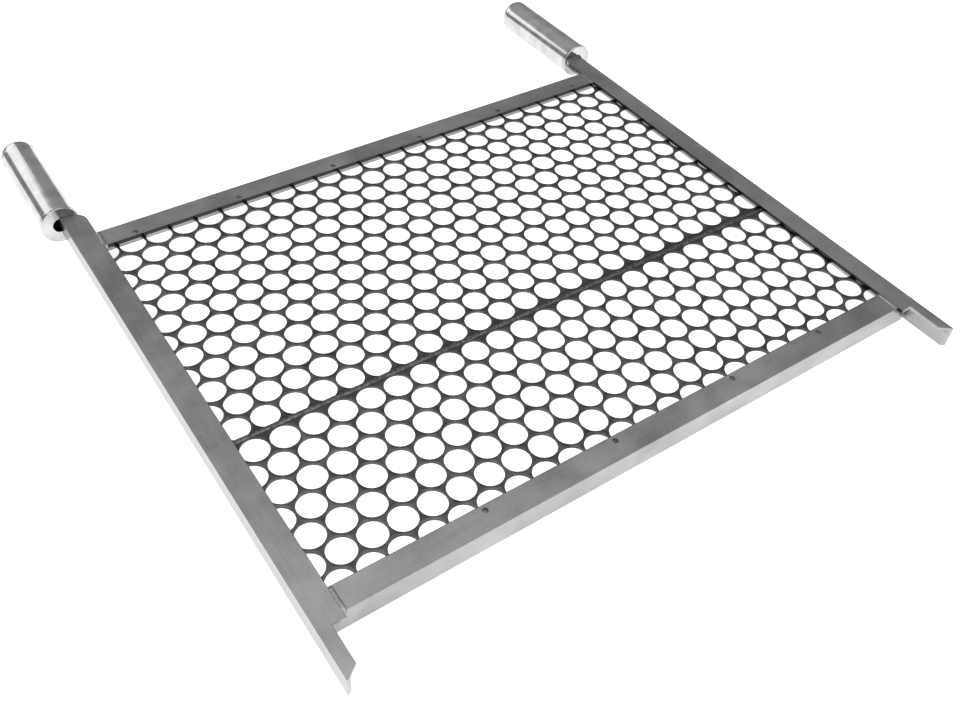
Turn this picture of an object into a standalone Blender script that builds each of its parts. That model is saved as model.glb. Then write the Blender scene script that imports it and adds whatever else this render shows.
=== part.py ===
"""Barbecue grill grate: two punched coin-mesh sheets in a welded steel-angle frame, with two tube handles.

The rails run along Y, from the near tongues (-Y) to the handles (+Y). The bars run along X between them.
The origin is the centre of the grate's footprint, on the surface that it lies on.
"""

import math

import bmesh
import bpy
from mathutils import Matrix, Vector

# Frame of equal steel angle, with one leg flat on top and the other hanging from the outer edge
FRAME_WIDTH = 0.532  # over the rails' outer faces
FRAME_DEPTH = 0.400  # over the bars' outer faces
ANGLE_LEG = 0.0190
ANGLE_THICKNESS = 0.0032
ANGLE_ROOT_RADIUS = 0.0025

# Rail ends: a narrowed tongue at the near end, a tail that enters the handle at the far end
TONGUE_LENGTH = 0.0385
TONGUE_FLANGE = 0.0095  # what is left of the top leg on the tongue
TONGUE_SHOULDER = 0.0040  # full-width length in front of the near bar
TONGUE_MITRE = 0.0070
TAIL_LENGTH = 0.0315  # from the far bar to the handle's face
TAIL_ROUND = 0.0110  # radius of the top leg's inner corner at the handle
TANG_DEPTH = 0.0450  # inside the handle

# Handle: a tube with a bored ferrule, a domed cap, and a flush cross pin through the rail's tang
HANDLE_LENGTH = 0.1175  # face to dome
HANDLE_DIAMETER = 0.0320
HANDLE_WALL = 0.0020
HANDLE_DROP = 0.0070  # axis below the rail's top
FACE_ROUND = 0.0008  # rounding of the ferrule's rim
FERRULE_RIM = 0.0030  # part of the ferrule in front of the tube
FERRULE_BORE = 0.0124
DOME_HEIGHT = 0.0110
CAP_RIM = 0.0030  # straight part of the cap outside the tube
SPIGOT_LENGTH = 0.0100  # part of the ferrule or the cap inside the tube
TANG_CLEARANCE = 0.0005
PIN_DIAMETER = 0.0040
PIN_SETBACK = 0.0200  # from the handle's face

# Punched sheets
SHEET_THICKNESS = 0.0015
HOLE_PITCH = 0.0220
HOLE_WEB = 0.0016  # narrowest metal between two holes of a row
ROW_RATIO = 0.893  # row spacing over pitch
ROW_STEP = 0.5077  # sideways step from row to row over pitch
SEAM_OFFSET = 0.1310  # seam's centre from the near bar's inner edge
SEAM_BAND = 0.0048  # solid metal between the holes on each side of the seam
SHEET_CLEARANCE = 0.0008  # from a sheet's edge to the angle's root
FRONT_PHASE = 0.0051  # a hole of the row at the seam, from the grate's middle
REAR_PHASE = 0.0022
REAR_SKEW = 0.0085  # slope of the rear sheet's rows
EDGE_KEEP = 0.0020  # no hole's centre is nearer than this to a sheet's edge

# Welds
BUTT_GAP = 0.0020  # root gap that a butt weld fills
WELD_CROWN = 0.0004
PLUG_DIAMETER = 0.0040
PLUG_INSET = 0.0045  # from the bar's inner edge
PLUG_SIDESTEP = 0.0005  # steps in which a plug moves off a hole
FAR_PLUGS = 6
FAR_PLUG_MARGIN = 0.0232  # from the bar's ends to the row's ends
NEAR_PLUGS = 4
NEAR_PLUG_LEFT_MARGIN = 0.1105  # the near row was set off the middle by hand
NEAR_PLUG_RIGHT_MARGIN = 0.0705

GAP = 0.0003  # between pieces that touch
REACH = 0.0100  # how far a cutter runs past what it cuts
HOLE_SIDES = 6
TURN_STEPS = 32
SMALL_SIDES = 16

# Places that follow from the sizes
overall_length = TONGUE_LENGTH + FRAME_DEPTH + TAIL_LENGTH + HANDLE_LENGTH
y_tip = -overall_length / 2
y_near = y_tip + TONGUE_LENGTH
y_far = y_near + FRAME_DEPTH
y_face = y_far + TAIL_LENGTH
y_end = y_face + HANDLE_LENGTH
y_cap = y_end - DOME_HEIGHT - CAP_RIM
z_top = max(ANGLE_LEG, HANDLE_DROP + HANDLE_DIAMETER / 2)
z_axis = z_top - HANDLE_DROP
z_sheet = z_top - ANGLE_THICKNESS - GAP
y_seam = y_near + ANGLE_LEG + SEAM_OFFSET
half_width = FRAME_WIDTH / 2
half_opening = half_width - ANGLE_LEG
half_bar = half_opening - BUTT_GAP
half_bar_leg = half_width - ANGLE_THICKNESS - ANGLE_ROOT_RADIUS - GAP
sheet_tuck = ANGLE_LEG - ANGLE_THICKNESS - ANGLE_ROOT_RADIUS - SHEET_CLEARANCE
spigot_radius = HANDLE_DIAMETER / 2 - HANDLE_WALL - GAP
tang_half = min(
    z_top - z_axis,
    ANGLE_LEG - z_top + z_axis,
    math.sqrt((FERRULE_BORE / 2 - TANG_CLEARANCE) ** 2 - ANGLE_THICKNESS**2),
)
hole_radius = (HOLE_PITCH - HOLE_WEB) / 2
cutter_radius = hole_radius * math.sqrt(2 * math.pi / (HOLE_SIDES * math.sin(2 * math.pi / HOLE_SIDES)))
row_spacing = HOLE_PITCH * ROW_RATIO
first_row = hole_radius + SEAM_BAND / 2


def clear_scene():
    for old in list(bpy.data.objects):
        bpy.data.objects.remove(old, do_unlink=True)


def new_collection(name):
    found = bpy.data.collections.new(name)
    bpy.context.scene.collection.children.link(found)
    return found


def new_material(name, colour, roughness):
    made = bpy.data.materials.new(name)
    made.use_nodes = True
    shader = made.node_tree.nodes["Principled BSDF"]
    shader.inputs["Base Color"].default_value = (*colour, 1.0)
    shader.inputs["Roughness"].default_value = roughness
    shader.inputs["Metallic"].default_value = 1.0
    return made


def finish_part(part, material, smooth=False):
    part.data.materials.clear()
    part.data.materials.append(material)
    if smooth:
        part.data.shade_smooth()
        part.data.set_sharp_from_angle(angle=math.radians(40))
    return part


def mesh_object(name, form, collection):
    """Puts a bmesh into a new object, with its faces pointing out."""
    bmesh.ops.recalc_face_normals(form, faces=form.faces)
    mesh = bpy.data.meshes.new(name)
    form.to_mesh(mesh)
    form.free()
    made = bpy.data.objects.new(name, mesh)
    collection.objects.link(made)
    return made


def extruded(name, outline, depth, turn, place, collection):
    """A flat outline as a filled 2D curve of that depth, turned and placed, then made a closed mesh."""
    curve = bpy.data.curves.new(name + "_outline", "CURVE")
    curve.dimensions = "2D"
    curve.fill_mode = "BOTH"
    curve.extrude = depth / 2
    spline = curve.splines.new("POLY")
    spline.points.add(len(outline) - 1)
    for point, (x, y) in zip(spline.points, outline):
        point.co = (x, y, 0.0, 1.0)
    spline.use_cyclic_u = True
    source = bpy.data.objects.new(name + "_outline", curve)
    bpy.context.scene.collection.objects.link(source)
    bpy.context.view_layer.update()
    evaluated = source.evaluated_get(bpy.context.evaluated_depsgraph_get())
    mesh = bpy.data.meshes.new_from_object(evaluated)
    form = bmesh.new()
    form.from_mesh(mesh)
    bmesh.ops.remove_doubles(form, verts=form.verts, dist=1e-6)
    bpy.data.objects.remove(source, do_unlink=True)
    bpy.data.meshes.remove(mesh)
    made = mesh_object(name, form, collection)
    made.matrix_world = Matrix.Translation(place) @ turn
    return made


def boxes(name, spans, collection):
    """One object of separate boxes, each given by its low and high corner."""
    form = bmesh.new()
    for low, high in spans:
        corners = bmesh.ops.create_cube(form, size=1.0)["verts"]
        bmesh.ops.scale(form, vec=Vector(high) - Vector(low), verts=corners)
        bmesh.ops.translate(form, vec=(Vector(high) + Vector(low)) / 2, verts=corners)
    return mesh_object(name, form, collection)


def rod(name, radius, length, sides, turn, place, collection):
    """A cylinder about its own Z, turned and placed by its centre."""
    form = bmesh.new()
    bmesh.ops.create_cone(form, cap_ends=True, segments=sides, radius1=radius, radius2=radius, depth=length)
    made = mesh_object(name, form, collection)
    made.matrix_world = Matrix.Translation(place) @ turn
    return made


def punches(name, places, radius, sides, thickness, z, collection):
    """Upright rods through a plate of that thickness, all in one cutter. z is the plate's middle."""
    form = bmesh.new()
    for x, y in places:
        bmesh.ops.create_cone(
            form,
            cap_ends=True,
            segments=sides,
            radius1=radius,
            radius2=radius,
            depth=3 * thickness,
            matrix=Matrix.Translation((x, y, z)),
        )
    return mesh_object(name, form, collection)


def turned(name, profile, closed, place, collection):
    """Turns a profile of (radius, height) about Z with a Screw, then lays Z along +Y."""
    form = bmesh.new()
    points = [form.verts.new((radius, 0.0, height)) for radius, height in profile]
    for first, second in zip(points, points[1:]):
        form.edges.new((first, second))
    if closed:
        form.edges.new((points[-1], points[0]))
    mesh = bpy.data.meshes.new(name)
    form.to_mesh(mesh)
    form.free()
    made = bpy.data.objects.new(name, mesh)
    collection.objects.link(made)
    screw = made.modifiers.new("turn", "SCREW")
    screw.steps = TURN_STEPS
    screw.render_steps = TURN_STEPS
    screw.use_merge_vertices = True
    screw.merge_threshold = 1e-5
    made.matrix_world = Matrix.Translation(place) @ Matrix.Rotation(-math.pi / 2, 4, "X")
    return made


def subtract(part, cutter):
    cutter.hide_render = True
    cutter.display_type = "WIRE"
    cut = part.modifiers.new("cut_" + cutter.name, "BOOLEAN")
    cut.operation = "DIFFERENCE"
    cut.solver = "EXACT"
    cut.object = cutter


def angle_section(side):
    """The L section from its outer top corner. side is +1 where the top leg points to +x, else -1."""
    centre = ANGLE_THICKNESS + ANGLE_ROOT_RADIUS
    points = [(0.0, 0.0), (ANGLE_LEG, 0.0), (ANGLE_LEG, -ANGLE_THICKNESS)]
    for step in range(4):
        angle = math.pi / 2 * (1 + step / 3)
        x = centre + ANGLE_ROOT_RADIUS * math.cos(angle)
        y = -centre + ANGLE_ROOT_RADIUS * math.sin(angle)
        points.append((x, y))
    points += [(ANGLE_THICKNESS, -ANGLE_LEG), (0.0, -ANGLE_LEG)]
    return [(side * x, y) for x, y in points]


# A section drawn in x and y stands in X and Z along a rail, and in Y and Z along a bar.
ALONG_RAIL = Matrix.Rotation(math.pi / 2, 4, "X")
ALONG_BAR = Matrix.Rotation(math.pi / 2, 4, "Z") @ Matrix.Rotation(math.pi / 2, 4, "X")
ACROSS = Matrix.Rotation(math.pi / 2, 4, "Y")
FLAT = Matrix.Identity(4)


def make_rail(name, side, material, parts, cutters):
    """side is -1 for the left rail and +1 for the right one."""
    outer = side * half_width
    inward = -side
    tail_end = y_face + TANG_DEPTH
    middle = (y_tip + tail_end) / 2
    place = (outer, middle, z_top)
    rail = extruded(name, angle_section(inward), tail_end - y_tip, ALONG_RAIL, place, parts)
    deep = 2 * ANGLE_LEG + REACH
    level = (outer, 0.0, z_top)

    shoulder = y_near - TONGUE_SHOULDER
    far_side = inward * (ANGLE_LEG + REACH)
    strip = [(inward * TONGUE_FLANGE, y_tip - REACH), (far_side, y_tip - REACH)]
    strip += [(far_side, shoulder), (inward * TONGUE_FLANGE, shoulder)]
    subtract(rail, extruded(name + "_tongue_cut", strip, 2 * deep, FLAT, level, cutters))

    rise = TONGUE_MITRE / TONGUE_FLANGE
    wide = TONGUE_FLANGE + REACH
    mitre = [(-inward * REACH, y_tip - REACH * rise), (-inward * REACH, y_tip - 2 * REACH * rise)]
    mitre += [(inward * wide, y_tip - 2 * REACH * rise), (inward * wide, y_tip + wide * rise)]
    subtract(rail, extruded(name + "_mitre_cut", mitre, 2 * deep, FLAT, level, cutters))

    stop = y_face - GAP
    tail = [(far_side, stop - TAIL_ROUND)]
    for step in range(7):
        angle = math.pi / 2 * step / 6
        across = ANGLE_LEG - TAIL_ROUND * (1 - math.cos(angle))
        tail.append((inward * across, stop - TAIL_ROUND * (1 - math.sin(angle))))
    tail += [(inward * ANGLE_THICKNESS, stop), (inward * ANGLE_THICKNESS, tail_end + REACH)]
    tail.append((far_side, tail_end + REACH))
    subtract(rail, extruded(name + "_tail_cut", tail, 2 * deep, FLAT, level, cutters))

    spans = []
    for low, high in ((-REACH, z_axis - tang_half), (z_axis + tang_half, z_top + REACH)):
        spans.append(((outer - ANGLE_LEG, stop, low), (outer + ANGLE_LEG, tail_end + REACH, high)))
    subtract(rail, boxes(name + "_tang_cut", spans, cutters))

    drill = (outer, y_face + PIN_SETBACK, z_axis)
    clear = PIN_DIAMETER / 2 + GAP
    reach = 2 * ANGLE_LEG
    subtract(rail, rod(name + "_pin_hole", clear, reach, SMALL_SIDES, ACROSS, drill, cutters))
    return finish_part(rail, material)


def plug_places(row):
    """Centre of each plug weld of one row, moved along the bar to where the sheet has metal under it."""
    count, left, right = FAR_PLUGS, FAR_PLUG_MARGIN, FAR_PLUG_MARGIN
    y = y_far - ANGLE_LEG + PLUG_INSET
    holes = hole_places("rear")
    if row == "near":
        count, left, right = NEAR_PLUGS, NEAR_PLUG_LEFT_MARGIN, NEAR_PLUG_RIGHT_MARGIN
        y = y_near + ANGLE_LEG - PLUG_INSET
        holes = hole_places("front")
    spacing = (2 * half_bar - left - right) / (count - 1)
    places = []
    for number in range(count):
        x = left - half_bar + spacing * number
        sidestep = 0.0
        while min(math.dist((x + sidestep, y), hole) for hole in holes) < hole_radius + HOLE_WEB / 4:
            sidestep = -sidestep if sidestep > 0 else PLUG_SIDESTEP - sidestep
        places.append((x + sidestep, y))
    return places


def make_bar(row, material, parts, cutters):
    """The bar at the near or the far end, with its leg on the outer side and a hole for each plug.

    Its top leg butts against the rails' top legs. Its hanging leg runs on beneath them.
    """
    name = row + "_bar"
    outer = y_near if row == "near" else y_far
    inward = 1 if row == "near" else -1
    bar = extruded(name, angle_section(inward), 2 * half_bar_leg, ALONG_BAR, (0.0, outer, z_top), parts)
    level = z_top - ANGLE_THICKNESS - GAP
    spans = []
    for low, high in ((-half_width, -half_bar), (half_bar, half_width)):
        spans.append(((low, outer - 2 * ANGLE_LEG, level), (high, outer + 2 * ANGLE_LEG, z_top + REACH)))
    subtract(bar, boxes(name + "_copes", spans, cutters))
    radius = PLUG_DIAMETER / 2 + GAP
    middle = z_top - ANGLE_THICKNESS / 2
    places = plug_places(row)
    holes = punches(name + "_holes", places, radius, SMALL_SIDES, ANGLE_THICKNESS, middle, cutters)
    subtract(bar, holes)
    return finish_part(bar, material)


def make_plug_welds(row, material, parts):
    height = ANGLE_THICKNESS + WELD_CROWN
    for number, (x, y) in enumerate(plug_places(row), 1):
        place = (x, y, z_top - ANGLE_THICKNESS + height / 2)
        plug = rod(f"{row}_plug_weld_{number}", PLUG_DIAMETER / 2, height, SMALL_SIDES, FLAT, place, parts)
        finish_part(plug, material)


def bead_section(width, height):
    """A butt weld's section: flat sides and a crowned top, from the middle of its underside."""
    half = width / 2
    points = [(-half, 0.0), (half, 0.0)]
    for step in range(7):
        angle = math.pi * step / 6
        points.append((half * math.cos(angle), height + WELD_CROWN * math.sin(angle)))
    return points


def make_corner_weld(end, side, material, parts):
    """Fills the gap between a bar's end and the rail's top leg. side is -1 on the left, +1 on the right."""
    name = f"{end}_{'left' if side < 0 else 'right'}_corner_weld"
    outer = y_near if end == "near" else y_far
    inward = 1 if end == "near" else -1
    section = bead_section(BUTT_GAP - 2 * GAP, ANGLE_THICKNESS)
    x = side * (half_opening - BUTT_GAP / 2)
    y = outer + inward * ANGLE_LEG / 2
    weld = extruded(name, section, ANGLE_LEG, ALONG_RAIL, (x, y, z_top - ANGLE_THICKNESS), parts)
    return finish_part(weld, material)


def sheet_edges(field):
    """Near and far edge in Y of the front or the rear sheet."""
    if field == "front":
        return y_near + ANGLE_LEG - sheet_tuck, y_seam - BUTT_GAP / 2
    return y_seam + BUTT_GAP / 2, y_far - ANGLE_LEG + sheet_tuck


def cuts_corner_off(x_margin, y_margin):
    """Whether a hole that far inside two edges of a sheet would part the corner between them."""
    crosses_both = max(x_margin, y_margin) < cutter_radius
    return crosses_both and math.hypot(x_margin, y_margin) > hole_radius


def hole_places(field):
    """Centres of the holes of one sheet, row by row from the seam."""
    near, far = sheet_edges(field)
    half_sheet = half_opening + sheet_tuck
    direction = -1 if field == "front" else 1
    phase = FRONT_PHASE if field == "front" else REAR_PHASE
    slope = 0.0 if field == "front" else REAR_SKEW
    across = math.ceil(2 * half_width / HOLE_PITCH)
    rows = math.ceil((far - near) / row_spacing) + 1
    centres = []
    for row in range(rows):
        y = y_seam + direction * (first_row + row * row_spacing)
        step = direction * row * ROW_STEP % 1
        for column in range(-across, across + 1):
            x = phase + HOLE_PITCH * (column + step)
            tilted = y + slope * x
            x_margin = half_sheet - abs(x)
            y_margin = min(tilted - near, far - tilted)
            if min(x_margin, y_margin) >= EDGE_KEEP and not cuts_corner_off(x_margin, y_margin):
                centres.append((x, tilted))
    return centres


def make_sheet(field, material, parts, cutters):
    name = field + "_mesh_sheet"
    near, far = sheet_edges(field)
    half = half_opening + sheet_tuck
    sheet = boxes(name, [((-half, near, z_sheet - SHEET_THICKNESS), (half, far, z_sheet))], parts)
    middle = z_sheet - SHEET_THICKNESS / 2
    holes = punches(
        name + "_punches", hole_places(field), cutter_radius, HOLE_SIDES, SHEET_THICKNESS, middle, cutters
    )
    subtract(sheet, holes)
    return finish_part(sheet, material)


def make_seam_weld(material, parts):
    section = bead_section(BUTT_GAP - 2 * GAP, SHEET_THICKNESS)
    length = 2 * (half_opening - GAP)
    place = (0.0, y_seam, z_sheet - SHEET_THICKNESS)
    return finish_part(extruded("seam_weld", section, length, ALONG_BAR, place, parts), material)


def make_handle(name, side, tube_material, pin_material, parts, cutters):
    """Ferrule, tube, cap and pin on the rail's tail. side is -1 on the left and +1 on the right."""
    axis = side * half_width
    outer = HANDLE_DIAMETER / 2
    bore = FERRULE_BORE / 2

    ring_end = FERRULE_RIM + SPIGOT_LENGTH
    ring = [(spigot_radius, ring_end), (spigot_radius, FERRULE_RIM), (outer, FERRULE_RIM)]
    for step in range(4):
        angle = math.pi / 2 * step / 3
        radius = outer - FACE_ROUND * (1 - math.cos(angle))
        ring.append((radius, FACE_ROUND * (1 - math.sin(angle))))
    ring += [(bore, 0.0), (bore, ring_end)]
    ferrule = turned(name + "_handle_ferrule", ring, True, (axis, y_face, z_axis), parts)
    finish_part(ferrule, tube_material, smooth=True)

    start = y_face + FERRULE_RIM + GAP
    length = y_cap - GAP - start
    inner = outer - HANDLE_WALL
    wall = [(outer, length), (outer, 0.0), (inner, 0.0), (inner, length)]
    tube = turned(name + "_handle_tube", wall, True, (axis, start, z_axis), parts)
    drill = (axis, y_face + PIN_SETBACK, z_axis)
    clear = PIN_DIAMETER / 2 + GAP
    reach = 2 * HANDLE_DIAMETER
    subtract(tube, rod(name + "_tube_pin_hole", clear, reach, SMALL_SIDES, ACROSS, drill, cutters))
    finish_part(tube, tube_material, smooth=True)

    dome = []
    for step in range(9):
        angle = math.pi / 2 * (1 - step / 8)
        dome.append((outer * math.cos(angle), CAP_RIM + DOME_HEIGHT * math.sin(angle)))
    dome[0] = (0.0, CAP_RIM + DOME_HEIGHT)
    dome += [(outer, 0.0), (spigot_radius, 0.0), (spigot_radius, -SPIGOT_LENGTH), (0.0, -SPIGOT_LENGTH)]
    cap = turned(name + "_handle_cap", dome, False, (axis, y_cap, z_axis), parts)
    finish_part(cap, tube_material, smooth=True)

    flush = math.sqrt(outer**2 - (PIN_DIAMETER / 2) ** 2)
    pin = rod(name + "_handle_pin", PIN_DIAMETER / 2, 2 * flush, SMALL_SIDES, ACROSS, drill, parts)
    finish_part(pin, pin_material, smooth=True)


def main():
    clear_scene()
    parts = new_collection("grill_grate")
    cutters = new_collection("cutters")
    cutters.hide_render = True
    rail_steel = new_material("bright_steel_angle", (0.46, 0.46, 0.46), 0.28)
    bar_steel = new_material("brushed_steel_bar", (0.40, 0.40, 0.40), 0.34)
    sheet_steel = new_material("punched_steel_sheet", (0.30, 0.30, 0.30), 0.38)
    handle_metal = new_material("polished_aluminium", (0.78, 0.78, 0.78), 0.16)
    weld_metal = new_material("weld_metal", (0.25, 0.24, 0.23), 0.45)
    pin_metal = new_material("pin_steel", (0.55, 0.55, 0.55), 0.30)

    for name, side in (("left", -1), ("right", 1)):
        make_rail(name + "_rail", side, rail_steel, parts, cutters)
        make_handle(name, side, handle_metal, pin_metal, parts, cutters)
    for row in ("near", "far"):
        make_bar(row, bar_steel, parts, cutters)
        make_plug_welds(row, weld_metal, parts)
        for side in (-1, 1):
            make_corner_weld(row, side, weld_metal, parts)
    for field in ("front", "rear"):
        make_sheet(field, sheet_steel, parts, cutters)
    make_seam_weld(weld_metal, parts)


main()
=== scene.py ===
import math

import bmesh
import bpy
from mathutils import Matrix, Vector, noise


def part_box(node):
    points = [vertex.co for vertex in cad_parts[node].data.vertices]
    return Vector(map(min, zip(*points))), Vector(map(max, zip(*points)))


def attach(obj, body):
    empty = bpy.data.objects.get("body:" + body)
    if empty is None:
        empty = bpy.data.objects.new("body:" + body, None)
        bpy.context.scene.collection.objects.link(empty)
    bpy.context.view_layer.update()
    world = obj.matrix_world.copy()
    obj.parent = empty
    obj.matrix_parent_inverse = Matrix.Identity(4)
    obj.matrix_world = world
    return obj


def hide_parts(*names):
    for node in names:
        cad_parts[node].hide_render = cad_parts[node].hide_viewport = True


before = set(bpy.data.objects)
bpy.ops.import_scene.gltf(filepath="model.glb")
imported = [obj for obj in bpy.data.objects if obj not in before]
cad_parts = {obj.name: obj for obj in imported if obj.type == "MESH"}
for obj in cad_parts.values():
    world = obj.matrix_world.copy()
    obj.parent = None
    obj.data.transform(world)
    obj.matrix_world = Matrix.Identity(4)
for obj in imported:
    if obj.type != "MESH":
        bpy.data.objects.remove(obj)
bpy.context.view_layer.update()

# Barbecue grill grate. Lengths are in metres unless a name ends in Mm.


def toLinear(code):
    # sRGB hex colour to the linear values that a shader takes
    levels = [int(code[place:place + 2], 16) / 255 for place in (1, 3, 5)]
    values = [level / 12.92 if level <= 0.04045 else ((level + 0.055) / 1.055) ** 2.4 for level in levels]
    return (*values, 1.0)


def addNode(tree, kind, settings=None, links=None):
    node = tree.nodes.new("ShaderNode" + kind)
    for name, value in (settings or {}).items():
        if isinstance(name, str) and hasattr(node, name):
            setattr(node, name, value)
        else:
            node.inputs[name].default_value = value
    for name, source in (links or {}).items():
        tree.links.new(source, node.inputs[name])
    return node


def facesOut(bm):
    bmesh.ops.recalc_face_normals(bm, faces=bm.faces)


def addPiece(name, bm, material, standsFor=(), smoothAngle=35):
    # the bmesh becomes an object at the origin that rides on the grate's one body
    mesh = bpy.data.meshes.new(name)
    bm.to_mesh(mesh)
    bm.free()
    mesh.materials.append(material)
    mesh.shade_smooth()
    mesh.set_sharp_from_angle(angle=math.radians(smoothAngle))
    piece = bpy.data.objects.new(name, mesh)
    bpy.context.scene.collection.objects.link(piece)
    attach(piece, "root")
    if standsFor:
        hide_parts(*standsFor)
    return piece


def keepFlatsFlat(piece):
    # rounded edges shade smoothly without bending the light on the flats beside them
    weighted = piece.modifiers.new("flats", "WEIGHTED_NORMAL")
    weighted.keep_sharp = True
    weighted.weight = 100


# places that the CAD gives
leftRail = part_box("left_rail")
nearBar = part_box("near_bar")
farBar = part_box("far_bar")
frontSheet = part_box("front_mesh_sheet")
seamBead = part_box("seam_weld")
topLevel = leftRail[1].z
seamY = (seamBead[0].y + seamBead[1].y) / 2
mergeReach = 0.00002  # points nearer to each other than this become one


def metalStart(name, colour, roughness):
    # a metal on Object coordinates: returns its tree, its shader and the coordinates
    made = bpy.data.materials.new(name)
    made.use_nodes = True
    tree = made.node_tree
    shader = tree.nodes["Principled BSDF"]
    shader.inputs["Base Color"].default_value = toLinear(colour)
    shader.inputs["Metallic"].default_value = 1.0
    shader.inputs["Roughness"].default_value = roughness
    place = addNode(tree, "TexCoord").outputs["Object"]
    return made, tree, shader, place


angleFinish = {
    "light": "#b0b0b0",
    "dark": "#8c8c8c",
    "toe": "#3a3a3a",  # painted shade: the toe's face is darkened to stand in for its shadow and dark reflections
    "tones": (0.50, 0.95),  # where on the pattern the dark tone ends and the light one begins
    "roughness": (0.20, 0.36),
    "grainMm": 0.35,  # belt-polishing lines are nearer 0.1 mm, drawn coarser so that they show
    "grainLengthMm": 60,
    "grainShare": 0.45,
    "cloudMm": 45,
    "bumpMm": 0.012,
    "waveMm": 0.10,  # height of the long waves that rolling leaves
    "wavesPerMetre": 22.0,
    "toeMargin": 0.0003,
}


def brushedAngle(name, along, middle, toe, finish=angleFinish):
    # 304 stainless angle, belt-polished along its length: fine lines stretch every reflection across them.
    # toe is how far a leg's inner end lies from middle, measured across the piece; the faces there get
    # painted shade.
    made, tree, shader, place = metalStart(name, finish["light"], 0.25)
    across = 1000 / finish["grainMm"]
    lengthways = 1000 / finish["grainLengthMm"]
    scale = (across, lengthways, across) if along == "y" else (lengthways, across, across)
    stretched = addNode(tree, "Mapping", {"Scale": scale}, {"Vector": place})
    grain = addNode(tree, "TexNoise", {"Scale": 1.0, "Detail": 3.0, "Roughness": 0.6},
                    {"Vector": stretched.outputs["Vector"]})
    clouds = addNode(tree, "TexNoise", {"Scale": 1000 / finish["cloudMm"], "Detail": 4.0, "Roughness": 0.55},
                     {"Vector": place})
    mixed = addNode(tree, "Math", {"operation": "MULTIPLY_ADD", 1: finish["grainShare"]},
                    {0: grain.outputs["Fac"], 2: clouds.outputs["Fac"]})
    shade = addNode(tree, "ValToRGB", {}, {"Fac": mixed.outputs["Value"]})
    for stop, position, tone in zip(shade.color_ramp.elements, finish["tones"], ("dark", "light")):
        stop.position = position
        stop.color = toLinear(finish[tone])
    # only the toes' faces lie nearer to the middle than this, and they get painted shade
    reach = toe + finish["toeMargin"]
    parts = addNode(tree, "SeparateXYZ", {}, {"Vector": place})
    offset = addNode(tree, "Math", {"operation": "SUBTRACT", 1: middle},
                     {0: parts.outputs["X" if along == "y" else "Y"]})
    inwards = addNode(tree, "Math", {"operation": "ABSOLUTE"}, {0: offset.outputs["Value"]})
    inToeShade = addNode(tree, "Math", {"operation": "LESS_THAN", 1: reach}, {0: inwards.outputs["Value"]})
    # painted shade: the toes' faces take the dark toe colour in place of their shadow and dark reflections
    toeShaded = addNode(tree, "Mix", {"data_type": "RGBA", 7: toLinear(finish["toe"])},
                      {0: inToeShade.outputs["Value"], 6: shade.outputs["Color"]})
    tree.links.new(toeShaded.outputs[2], shader.inputs["Base Color"])
    low, high = finish["roughness"]
    rough = addNode(tree, "MapRange", {"From Min": 0.35, "From Max": 0.95, "To Min": low, "To Max": high},
                    {"Value": mixed.outputs["Value"]})
    tree.links.new(rough.outputs["Result"], shader.inputs["Roughness"])
    wave = addNode(tree, "TexNoise", {"Scale": finish["wavesPerMetre"], "Detail": 1.0}, {"Vector": place})
    rolled = addNode(tree, "Bump", {"Strength": 1.0, "Distance": finish["waveMm"] / 1000},
                     {"Height": wave.outputs["Fac"]})
    lines = addNode(tree, "Bump", {"Strength": 0.6, "Distance": finish["bumpMm"] / 1000},
                    {"Height": grain.outputs["Fac"], "Normal": rolled.outputs["Normal"]})
    tree.links.new(lines.outputs["Normal"], shader.inputs["Normal"])
    return made


sheetFinish = {
    "light": "#727273",
    "dark": "#4c4c4d",
    "tones": (0.35, 0.70),
    "roughness": (0.26, 0.44),
    "mottleMm": 9,
    "bumpMm": 0.03,
    "tint": "#4a4846",
    "tintReachMm": 9,
    "tintCore": 0.3,  # share of the reach over which the tint is at its strongest
    "tintStrength": 0.85,
}


def punchedSheet(name, finish=sheetFinish):
    # cold-rolled stainless sheet, punched and left with its dull mill finish, oxidised beside the seam weld
    made, tree, shader, place = metalStart(name, finish["light"], 0.35)
    mottle = addNode(tree, "TexNoise", {"Scale": 1000 / finish["mottleMm"], "Detail": 5.0, "Roughness": 0.6},
                     {"Vector": place})
    shade = addNode(tree, "ValToRGB", {}, {"Fac": mottle.outputs["Fac"]})
    for stop, position, tone in zip(shade.color_ramp.elements, finish["tones"], ("dark", "light")):
        stop.position = position
        stop.color = toLinear(finish[tone])
    parts = addNode(tree, "SeparateXYZ", {}, {"Vector": place})
    fromSeam = addNode(tree, "Math", {"operation": "SUBTRACT", 1: seamY}, {0: parts.outputs["Y"]})
    distance = addNode(tree, "Math", {"operation": "ABSOLUTE"}, {0: fromSeam.outputs["Value"]})
    reach = finish["tintReachMm"] / 1000
    span = {"From Min": finish["tintCore"] * reach, "From Max": reach}
    span.update({"To Min": finish["tintStrength"], "To Max": 0.0})
    near = addNode(tree, "MapRange", span, {"Value": distance.outputs["Value"]})
    tinted = addNode(tree, "Mix", {"data_type": "RGBA", 7: toLinear(finish["tint"])},
                     {0: near.outputs["Result"], 6: shade.outputs["Color"]})
    tree.links.new(tinted.outputs[2], shader.inputs["Base Color"])
    low, high = finish["roughness"]
    rough = addNode(tree, "MapRange", {"From Min": 0.3, "From Max": 0.7, "To Min": low, "To Max": high},
                    {"Value": mottle.outputs["Fac"]})
    tree.links.new(rough.outputs["Result"], shader.inputs["Roughness"])
    peel = addNode(tree, "Bump", {"Strength": 0.5, "Distance": finish["bumpMm"] / 1000},
                   {"Height": mottle.outputs["Fac"]})
    tree.links.new(peel.outputs["Normal"], shader.inputs["Normal"])
    return made


weldFinish = {
    "light": "#7c7b79",
    "dark": "#474543",
    "tones": (0.36, 0.62),
    "roughness": (0.32, 0.5),
    "spotMm": 2.5,
    "bumpMm": 0.05,
}


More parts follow.
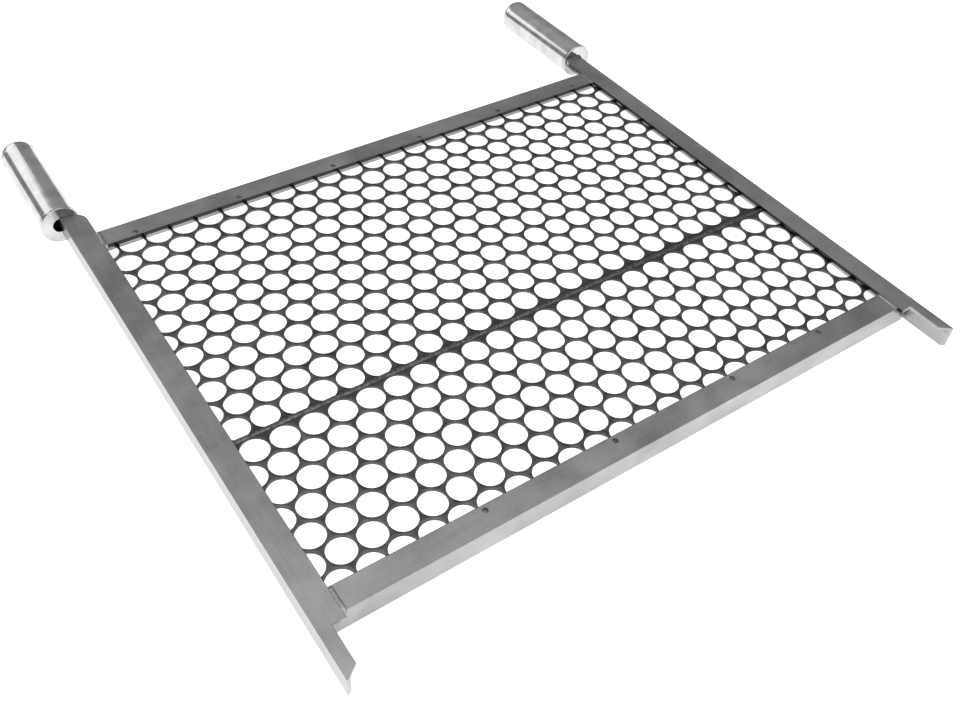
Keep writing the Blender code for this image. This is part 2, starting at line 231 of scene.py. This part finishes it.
def weldMetal(name, finish=weldFinish):
    # stainless weld metal, wire-brushed, with dull grey oxide left in the hollows
    made, tree, shader, place = metalStart(name, finish["light"], 0.35)
    spots = addNode(tree, "TexNoise", {"Scale": 1000 / finish["spotMm"], "Detail": 4.0, "Roughness": 0.65},
                    {"Vector": place})
    shade = addNode(tree, "ValToRGB", {}, {"Fac": spots.outputs["Fac"]})
    for stop, position, tone in zip(shade.color_ramp.elements, finish["tones"], ("dark", "light")):
        stop.position = position
        stop.color = toLinear(finish[tone])
    tree.links.new(shade.outputs["Color"], shader.inputs["Base Color"])
    low, high = finish["roughness"]
    # the dark hollows are the rough ones
    rough = addNode(tree, "MapRange", {"From Min": 0.3, "From Max": 0.7, "To Min": high, "To Max": low},
                    {"Value": spots.outputs["Fac"]})
    tree.links.new(rough.outputs["Result"], shader.inputs["Roughness"])
    bumps = addNode(tree, "Bump", {"Strength": 0.5, "Distance": finish["bumpMm"] / 1000},
                    {"Height": spots.outputs["Fac"]})
    tree.links.new(bumps.outputs["Normal"], shader.inputs["Normal"])
    return made


handleFinish = {
    "light": "#cacacb",
    "dark": "#b2b2b3",
    "tones": (0.35, 0.65),
    "roughness": (0.10, 0.20),
    "lineMm": 0.5,  # lathe-polishing lines, drawn coarser than the real 0.1 mm so that they show
    "acrossPerMetre": 12.0,  # low, so that a line stays whole round the tube
    "cloudMm": 18,
    "bumpMm": 0.006,
}


def polishedAluminium(name, finish=handleFinish):
    # polished aluminium: near-mirror, with faint rings round the tube from the polishing lathe
    made, tree, shader, place = metalStart(name, finish["light"], 0.1)
    across = finish["acrossPerMetre"]
    rings = addNode(tree, "Mapping", {"Scale": (across, 1000 / finish["lineMm"], across)}, {"Vector": place})
    lines = addNode(tree, "TexNoise", {"Scale": 1.0, "Detail": 2.0}, {"Vector": rings.outputs["Vector"]})
    clouds = addNode(tree, "TexNoise", {"Scale": 1000 / finish["cloudMm"], "Detail": 3.0}, {"Vector": place})
    shade = addNode(tree, "ValToRGB", {}, {"Fac": clouds.outputs["Fac"]})
    for stop, position, tone in zip(shade.color_ramp.elements, finish["tones"], ("dark", "light")):
        stop.position = position
        stop.color = toLinear(finish[tone])
    tree.links.new(shade.outputs["Color"], shader.inputs["Base Color"])
    low, high = finish["roughness"]
    rough = addNode(tree, "MapRange", {"From Min": 0.3, "From Max": 0.7, "To Min": low, "To Max": high},
                    {"Value": clouds.outputs["Fac"]})
    tree.links.new(rough.outputs["Result"], shader.inputs["Roughness"])
    fine = addNode(tree, "Bump", {"Strength": 0.4, "Distance": finish["bumpMm"] / 1000},
                   {"Height": lines.outputs["Fac"]})
    tree.links.new(fine.outputs["Normal"], shader.inputs["Normal"])
    return made


# the corner welds and the pins' ends are ground, so brighter and smoother than the brushed weld metal
groundFinish = {
    "light": "#aaaaaa",
    "dark": "#868685",
    "tones": (0.36, 0.62),
    "roughness": (0.22, 0.34),
    "spotMm": 2.5,
    "bumpMm": 0.01,
}
middleY = (nearBar[0].y + farBar[1].y) / 2
railSteel = brushedAngle("beltPolishedStainlessRail", "y", 0.0, -leftRail[1].x)
barSteel = brushedAngle("beltPolishedStainlessBar", "x", middleY, farBar[0].y - middleY)
sheetSteel = punchedSheet("millFinishPunchedStainless")
beadSteel = weldMetal("wireBrushedStainlessWeld")
handleMetal = polishedAluminium("lathePolishedAluminium")
groundSteel = weldMetal("groundStainlessWeld", groundFinish)
pinSteel = weldMetal("groundStainlessPin", groundFinish)
print("materials made")


# rails and bars: the CAD angle with its edges rounded as rolled and belt-polished steel has them
angleEdges = {
    "roundMm": 0.55,  # the heel and the toes of the angle
    "segments": 3,
    "sharpDegrees": 50,  # an edge that turns by more than this is rounded
    "shortestMm": 2.0,  # the pin hole's facets are shorter, and stay as they are
    "flatDegrees": 1,  # faces that meet at less than this are one flat
}


def angleFromNode(node, edges=angleEdges):
    bm = bmesh.new()
    bm.from_mesh(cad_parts[node].data)
    bmesh.ops.remove_doubles(bm, verts=bm.verts, dist=mergeReach)
    flat = math.radians(edges["flatDegrees"])
    bmesh.ops.dissolve_limit(bm, angle_limit=flat, verts=bm.verts, edges=bm.edges)
    facesOut(bm)
    sharp = math.radians(edges["sharpDegrees"])
    shortest = edges["shortestMm"] / 1000
    solid = [edge for edge in bm.edges if edge.is_manifold and edge.calc_length() > shortest]
    chosen = [edge for edge in solid if edge.calc_face_angle_signed() > sharp]
    bmesh.ops.bevel(bm, geom=chosen, offset=edges["roundMm"] / 1000, offset_type="OFFSET", affect="EDGES",
                    segments=edges["segments"], profile=0.5, material=-1, clamp_overlap=True)
    return bm


angles = {"left_rail": railSteel, "right_rail": railSteel, "near_bar": barSteel, "far_bar": barSteel}
for node, material in angles.items():
    piece = addPiece(node + "_angle", angleFromNode(node), material, [node], smoothAngle=50)
    keepFlatsFlat(piece)
print("rails and bars rounded")


# mesh sheets: one hexagonal cell with its hole, laid out over the sheet
mesh = {
    "pitch": 0.0220,
    "hole": 0.0204,
    "rowRatio": 0.893,  # from row to row, over the pitch
    "rowStep": 0.5077,  # sideways shift from row to row, over the pitch
    "seamBand": 0.0048,
    "edgeKeep": 0.0020,  # no hole's centre is nearer than this to a sheet's edge
    "sidePoints": 4,  # points on each side of a cell, so a hole has six times as many
    "firstInset": 0.0005,  # only makes the hole's points, which are then set on its circle
    "rimMm": 0.22,  # the punch rolls the top edge of each hole over
    "rimSegments": 2,
    "rimTurn": 1.0,  # radians: an edge that turns by more than this is a hole's
    "reach": 0.0001,  # how near counts as on the sheet's top, or at its border
    "waveMm": 0.35,
    "waveLength": 0.16,
    "heldWidth": 0.03,  # the waves grow over this distance from the welded edges, which stay flat
}
sheets = {
    "front": {"direction": -1, "phase": 0.0051, "slope": 0.0, "node": "front_mesh_sheet"},
    "rear": {"direction": 1, "phase": 0.0022, "slope": 0.0085, "node": "rear_mesh_sheet"},
}


def circumcentre(u, v):
    # centre of the circle through the origin, u and v
    scale = 2 * (u.x * v.y - u.y * v.x)
    x = (v.y * u.length_squared - u.y * v.length_squared) / scale
    y = (u.x * v.length_squared - v.x * u.length_squared) / scale
    return Vector((x, y, 0.0))


def makeCell(across, upward, punched):
    # the cell of the lattice that the two steps make, about the origin
    steps = [across, upward, upward - across]
    steps += [-step for step in steps]
    bm = bmesh.new()
    corners = [bm.verts.new(circumcentre(steps[n], steps[(n + 1) % 6])) for n in range(6)]
    face = bm.faces.new(corners)
    bmesh.ops.subdivide_edges(bm, edges=face.edges[:], cuts=mesh["sidePoints"] - 1)
    if punched:
        face = bm.faces[:][0]
        bmesh.ops.inset_individual(bm, faces=[face], thickness=mesh["firstInset"])
        for vert in face.verts:
            vert.co = vert.co.normalized() * mesh["hole"] / 2
        bmesh.ops.delete(bm, geom=[face], context="FACES_ONLY")
    cell = bpy.data.meshes.new("cell")
    facesOut(bm)
    bm.to_mesh(cell)
    bm.free()
    return cell


def layOut(sheet):
    low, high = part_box(sheet["node"])
    turn = sheet["direction"]
    pitch = mesh["pitch"]
    rowGap = pitch * mesh["rowRatio"]
    across = Vector((pitch, pitch * sheet["slope"], 0.0))
    sideways = pitch * mesh["rowStep"] * turn
    upward = Vector((sideways, turn * rowGap + sideways * sheet["slope"], 0.0))
    if turn < 0:
        across = -across
    holed = makeCell(across, upward, True)
    plain = makeCell(across, upward, False)
    firstRow = (mesh["hole"] + mesh["seamBand"]) / 2
    origin = Vector((sheet["phase"], seamY + turn * firstRow + sheet["slope"] * sheet["phase"], 0.0))
    rows = math.ceil((high.y - low.y) / rowGap) + 1
    columns = math.ceil((high.x - low.x) / pitch) + rows
    bm = bmesh.new()
    for row in range(-1, rows):
        for column in range(-columns, columns):
            centre = origin + across * column + upward * row
            inside = min(centre.x - low.x, high.x - centre.x, centre.y - low.y, high.y - centre.y)
            if inside < -pitch:
                continue
            punched = row >= 0 and inside >= mesh["edgeKeep"]
            before = len(bm.verts)
            bm.from_mesh(holed if punched else plain)
            bm.verts.ensure_lookup_table()
            bmesh.ops.translate(bm, vec=centre, verts=bm.verts[before:])
    bmesh.ops.remove_doubles(bm, verts=bm.verts, dist=mergeReach)
    return bm, low, high


def trim(bm, low, high):
    for place, outwards in ((low, (-1, 0, 0)), (high, (1, 0, 0)), (low, (0, -1, 0)), (high, (0, 1, 0))):
        everything = bm.verts[:] + bm.edges[:] + bm.faces[:]
        bmesh.ops.bisect_plane(bm, geom=everything, plane_co=place, plane_no=outwards, clear_outer=True)


def makeSheet(sheet):
    bm, low, high = layOut(sheet)
    trim(bm, (low.x, low.y, 0), (high.x, high.y, 0))
    thickness = high.z - low.z
    bmesh.ops.translate(bm, vec=(0, 0, high.z), verts=bm.verts)
    facesOut(bm)
    added = bmesh.ops.extrude_face_region(bm, geom=bm.faces[:], use_keep_orig=True)["geom"]
    lower = [item for item in added if isinstance(item, bmesh.types.BMVert)]
    bmesh.ops.translate(bm, vec=(0, 0, -thickness), verts=lower)
    facesOut(bm)
    margin = mesh["reach"]
    rims = []
    for edge in bm.edges:
        middle = (edge.verts[0].co + edge.verts[1].co) / 2
        onTop = min(vert.co.z for vert in edge.verts) > high.z - margin
        atBorder = min(middle.x - low.x, high.x - middle.x, middle.y - low.y, high.y - middle.y) < margin
        if onTop and not atBorder and edge.is_manifold and edge.calc_face_angle() > mesh["rimTurn"]:
            rims.append(edge)
    bmesh.ops.bevel(bm, geom=rims, offset=mesh["rimMm"] / 1000, offset_type="OFFSET", affect="EDGES",
                    segments=mesh["rimSegments"], profile=0.5, material=-1, clamp_overlap=True)
    # a face of many corners has to be flat to divide cleanly, so this comes before the waves
    bmesh.ops.triangulate(bm, faces=[face for face in bm.faces if len(face.verts) > 4])
    for vert in bm.verts:
        inset = min(vert.co.x - low.x, high.x - vert.co.x, vert.co.y - low.y, high.y - vert.co.y)
        free = min(1.0, max(0.0, inset / mesh["heldWidth"]))
        swell = noise.noise(Vector((vert.co.x, vert.co.y, 0.0)) / mesh["waveLength"])
        vert.co.z += free * mesh["waveMm"] / 1000 * swell
    return bm


for name, sheet in sheets.items():
    form = makeSheet(sheet)
    piece = addPiece(name + "_coin_mesh", form, sheetSteel, [sheet["node"]], smoothAngle=40)
    print(name, "sheet punched:", len(piece.data.polygons), "faces")


# welds, brushed down until the ripples hardly show
bead = {
    "ripple": 0.0014,  # from one ripple to the next
    "rippleMm": 0.04,
    "lag": 0.9,  # radians by which a ripple trails at the bead's sides
    "sides": 8,
    "fewest": 6,  # segments along the shortest bead
    "endSlope": 6,  # the higher, the shorter the tapered ends
    "endHeight": 0.35,  # crown at the very ends, over the crown in the middle
    "keptWidth": 0.7,  # share of the width that doesn't narrow with the height
    "wander": 0.12,  # share by which the width changes along the bead
    "wandersPerMetre": 120,
    "wanderShift": 40,  # sets beads that start at different places apart
}


def makeBead(start, end, width, crown, depth):
    # an arched, rippled run of weld from start to end, closed underneath
    run = Vector(end) - Vector(start)
    along = max(bead["fewest"], round(run.length / bead["ripple"]) * 3)
    bm = bmesh.new()
    bmesh.ops.create_grid(bm, x_segments=along, y_segments=bead["sides"], size=0.5)
    for vert in bm.verts:
        u, v = vert.co.x + 0.5, vert.co.y * 2
        ripple = abs(math.sin(math.pi * u * run.length / bead["ripple"] - bead["lag"] * v * v))
        taper = min(1.0, bead["endSlope"] * min(u, 1 - u) + bead["endHeight"])
        narrowing = taper * (1 - bead["keptWidth"]) + bead["keptWidth"]
        place = Vector((u * run.length * bead["wandersPerMetre"], 0.0, start[0] * bead["wanderShift"]))
        wander = noise.noise(place)
        rise = crown * math.sqrt(max(0.0, 1 - v * v)) * taper
        rise += bead["rippleMm"] / 1000 * ripple * (1 - v * v)
        sideways = v * width / 2 * narrowing * (1 + bead["wander"] * wander)
        vert.co = Vector((u * run.length, sideways, rise))
    facesOut(bm)
    added = bmesh.ops.extrude_face_region(bm, geom=bm.faces[:], use_keep_orig=True)["geom"]
    for item in added:
        if isinstance(item, bmesh.types.BMVert):
            item.co.z = -depth
    turn = run.to_track_quat("X", "Z").to_matrix().to_4x4()
    bmesh.ops.transform(bm, matrix=Matrix.Translation(start) @ turn, verts=bm.verts)
    facesOut(bm)
    return bm


seamWeld = {"width": 0.0040, "crown": 0.0005}
low, high = seamBead
seamTop = frontSheet[1].z
ends = (low.x, seamY, seamTop), (high.x, seamY, seamTop)
seam = makeBead(*ends, seamWeld["width"], seamWeld["crown"], seamTop - low.z)
addPiece("seam_bead", seam, beadSteel, ["seam_weld"])

cornerWeld = {"width": 0.0034, "crown": 0.00035}
for end in ("near", "far"):
    for side in ("left", "right"):
        node = f"{end}_{side}_corner_weld"
        low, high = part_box(node)
        x = (low.x + high.x) / 2
        ends = (x, low.y, topLevel), (x, high.y, topLevel)
        run = makeBead(*ends, cornerWeld["width"], cornerWeld["crown"], topLevel - low.z)
        addPiece(f"{end}_{side}_corner_bead", run, groundSteel, [node])

plugWeld = {
    "sides": 20,
    "rings": 4,
    "spread": 1.12,  # the button's width over the CAD plug's
    "lumpMm": 0.10,
    "lumpsPerMetre": 900,
    "crownSpan": 0.4,  # added to the rings, so the last one stops short of the very top
    "insetSpan": 0.8,  # added to the rings, so the last one leaves a small face
    "rimReach": 0.0001,  # points from this far under the rim upwards get the lumps
}


def makePlug(low, high):
    # a plug weld: a low lumpy button on a straight shank
    centre = (low + high) / 2
    radius = (high.x - low.x) / 2 * plugWeld["spread"]
    crown = high.z - topLevel
    bm = bmesh.new()
    bmesh.ops.create_cone(bm, cap_ends=True, segments=plugWeld["sides"], radius1=radius, radius2=radius,
                          depth=topLevel - low.z)
    bmesh.ops.translate(bm, vec=(0, 0, (low.z - topLevel) / 2), verts=bm.verts)
    for ring in range(plugWeld["rings"]):
        top = max(bm.faces, key=lambda face: face.calc_center_median().z)
        share = (ring + 1) / (plugWeld["rings"] + plugWeld["crownSpan"])
        inset = radius / (plugWeld["rings"] + plugWeld["insetSpan"])
        bmesh.ops.inset_individual(bm, faces=[top], thickness=inset)
        for vert in top.verts:
            vert.co.z = crown * math.sqrt(1 - (1 - share) ** 2)
    for vert in bm.verts:
        if vert.co.z > -plugWeld["rimReach"]:
            lump = noise.noise((vert.co + centre) * plugWeld["lumpsPerMetre"])
            vert.co.z += plugWeld["lumpMm"] / 1000 * lump
    bmesh.ops.translate(bm, vec=(centre.x, centre.y, topLevel), verts=bm.verts)
    facesOut(bm)
    return bm


for node in sorted(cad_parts):
    if "plug_weld" in node:
        addPiece(node + "_button", makePlug(*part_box(node)), beadSteel, [node])
print("welds laid")


# handles: a ferrule, a tube and a domed cap, each spun about the handle's own axis
handle = {
    "wall": 0.0020,
    "faceRound": 0.0008,
    "ferruleRim": 0.0030,
    "ferruleBore": 0.0124,
    "dome": 0.0110,
    "gap": 0.0003,
    "jointMm": 0.35,  # the small chamfer on both sides of a joint
    "steps": 72,  # round the axis
    "domeSteps": 14,
    "roundSteps": 6,
    "mergeReach": 0.00001,
}


def spinRound(profile, centre):
    # turns a profile of (radius, distance along Y) round the handle's axis
    bm = bmesh.new()
    points = [bm.verts.new((centre.x + radius, along, centre.z)) for radius, along in profile]
    edges = [bm.edges.new(pair) for pair in zip(points, points[1:])]
    if profile[0][0] > 0:
        edges.append(bm.edges.new((points[-1], points[0])))
    bmesh.ops.spin(bm, geom=points + edges, cent=centre, axis=(0, 1, 0), angle=2 * math.pi,
                   steps=handle["steps"], use_merge=True, use_duplicate=False)
    bmesh.ops.remove_doubles(bm, verts=bm.verts, dist=handle["mergeReach"])
    facesOut(bm)
    return bm


def axisOf(low, high):
    return Vector(((low.x + high.x) / 2, 0, (low.z + high.z) / 2))


def makeFerrule(low, high):
    outer = (high.x - low.x) / 2
    bore = handle["ferruleBore"] / 2
    spigot = outer - handle["wall"] - handle["gap"]
    joint = handle["jointMm"] / 1000
    edge = handle["faceRound"]
    rim = low.y + handle["ferruleRim"]
    profile = [(spigot, high.y), (spigot, rim), (outer - joint, rim), (outer, rim - joint)]
    for step in range(handle["roundSteps"] + 1):
        angle = math.pi / 2 * step / handle["roundSteps"]
        profile.append((outer - edge * (1 - math.cos(angle)), low.y + edge * (1 - math.sin(angle))))
    profile += [(bore + joint, low.y), (bore, low.y + joint), (bore, high.y)]
    return spinRound(profile, axisOf(low, high))


def makeTube(low, high):
    outer = (high.x - low.x) / 2
    bore = outer - handle["wall"]
    joint = handle["jointMm"] / 1000
    profile = [(bore, low.y), (outer - joint, low.y), (outer, low.y + joint)]
    profile += [(outer, high.y - joint), (outer - joint, high.y), (bore, high.y)]
    return spinRound(profile, axisOf(low, high))


def makeCap(low, high, tubeEnd):
    outer = (high.x - low.x) / 2
    joint = handle["jointMm"] / 1000
    spigot = outer - handle["wall"] - handle["gap"]
    profile = [(0.0, high.y)]
    for step in range(1, handle["domeSteps"] + 1):
        angle = math.pi / 2 * (1 - step / handle["domeSteps"])
        along = high.y - handle["dome"] * (1 - math.sin(angle))
        profile.append((outer * math.cos(angle), along))
    face = tubeEnd + handle["gap"]
    profile += [(outer, face + joint), (outer - joint, face), (spigot, face), (spigot, low.y), (0.0, low.y)]
    return spinRound(profile, axisOf(low, high))


for side in ("left", "right"):
    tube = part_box(side + "_handle_tube")
    turned = {
        "ferrule": makeFerrule(*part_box(side + "_handle_ferrule")),
        "tube": makeTube(*tube),
        "cap": makeCap(*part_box(side + "_handle_cap"), tube[1].y),
    }
    for part, form in turned.items():
        node = f"{side}_handle_{part}"
        addPiece(node + "_turned", form, handleMetal, [node], smoothAngle=40)
    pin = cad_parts[side + "_handle_pin"]
    pin.data.materials.clear()
    pin.data.materials.append(pinSteel)
print("handles turned")


# floor, light and camera
studio = {
    "floor": "#f4f4f4",
    "floorRoughness": 0.9,
    "floorGlow": 0.85,
    "floorSize": 60.0,
    "floorDrop": 0.0002,  # the floor lies this far under the handles, so that no two faces meet
    "sky": {0.45: 0.36, 0.80: 0.54, 0.95: 1.6},  # brightness by the sine of the height above the horizon
}
softboxes = {
    "frontSoftbox": {
        "place": (-1.3, -1.1, 1.7),
        "target": (0.0, 0.0, 0.0),
        "size": (1.6, 1.6),
        "watts": 15,
    },
    "rearSoftbox": {
        "place": (-0.75, 2.1, 1.0),
        "target": (-0.1, 0.2, 0.0),
        "size": (1.3, 0.7),
        "watts": 4.0,
    },
}

bm = bmesh.new()
bmesh.ops.create_grid(bm, x_segments=1, y_segments=1, size=studio["floorSize"] / 2)
floorMesh = bpy.data.meshes.new("floor")
bm.to_mesh(floorMesh)
bm.free()
floor = bpy.data.objects.new("floor", floorMesh)
floor.location.z = -studio["floorDrop"]
bpy.context.scene.collection.objects.link(floor)
paper = bpy.data.materials.new("palePaper")
paper.use_nodes = True
paperShader = paper.node_tree.nodes["Principled BSDF"]
paperShader.inputs["Base Color"].default_value = toLinear(studio["floor"])
paperShader.inputs["Roughness"].default_value = studio["floorRoughness"]
paperShader.inputs["Emission Color"].default_value = toLinear(studio["floor"])
paperShader.inputs["Emission Strength"].default_value = studio["floorGlow"]
floorMesh.materials.append(paper)


for name, softbox in softboxes.items():
    data = bpy.data.lights.new(name, "AREA")
    data.shape = "RECTANGLE"
    data.size, data.size_y = softbox["size"]
    data.energy = softbox["watts"]
    light = bpy.data.objects.new(name, data)
    light.location = softbox["place"]
    aim = Vector(softbox["target"]) - Vector(softbox["place"])
    light.rotation_euler = aim.to_track_quat("-Z", "Y").to_euler()
    bpy.context.scene.collection.objects.link(light)

world = bpy.data.worlds.new("softRoom")
bpy.context.scene.world = world
world.use_nodes = True
tree = world.node_tree
background = tree.nodes["Background"]
direction = addNode(tree, "TexCoord").outputs["Generated"]
height = addNode(tree, "SeparateXYZ", {}, {"Vector": direction}).outputs["Z"]
sky = addNode(tree, "ValToRGB", {}, {"Fac": height})
sky.color_ramp.elements.new(0.5)
for stop, (position, level) in zip(sky.color_ramp.elements, studio["sky"].items()):
    stop.position = position
    stop.color = (level, level, level, 1)
tree.links.new(sky.outputs["Color"], background.inputs["Color"])

# the camera's place, and the directions that it takes as right, down and ahead
view = {
    "place": (-0.37749, -0.53344, 0.55061),
    "right": (0.82342, -0.56476, 0.05503),
    "down": (-0.37232, -0.61092, -0.69869),
    "ahead": (0.42820, 0.55483, -0.71331),
    "lens": 38.175,
    "sensor": 36.0,
    "nearest": 0.01,
}
cameraData = bpy.data.cameras.new("camera")
cameraData.lens = view["lens"]
cameraData.sensor_width = view["sensor"]
cameraData.clip_start = view["nearest"]
camera = bpy.data.objects.new("camera", cameraData)
rows = (Vector(view["right"]), -Vector(view["down"]), -Vector(view["ahead"]))
axes = Matrix(rows).transposed()
camera.matrix_world = Matrix.Translation(view["place"]) @ axes.to_4x4()
bpy.context.scene.collection.objects.link(camera)
bpy.context.scene.camera = camera
bpy.context.scene.view_settings.view_transform = "Standard"
print("studio set")
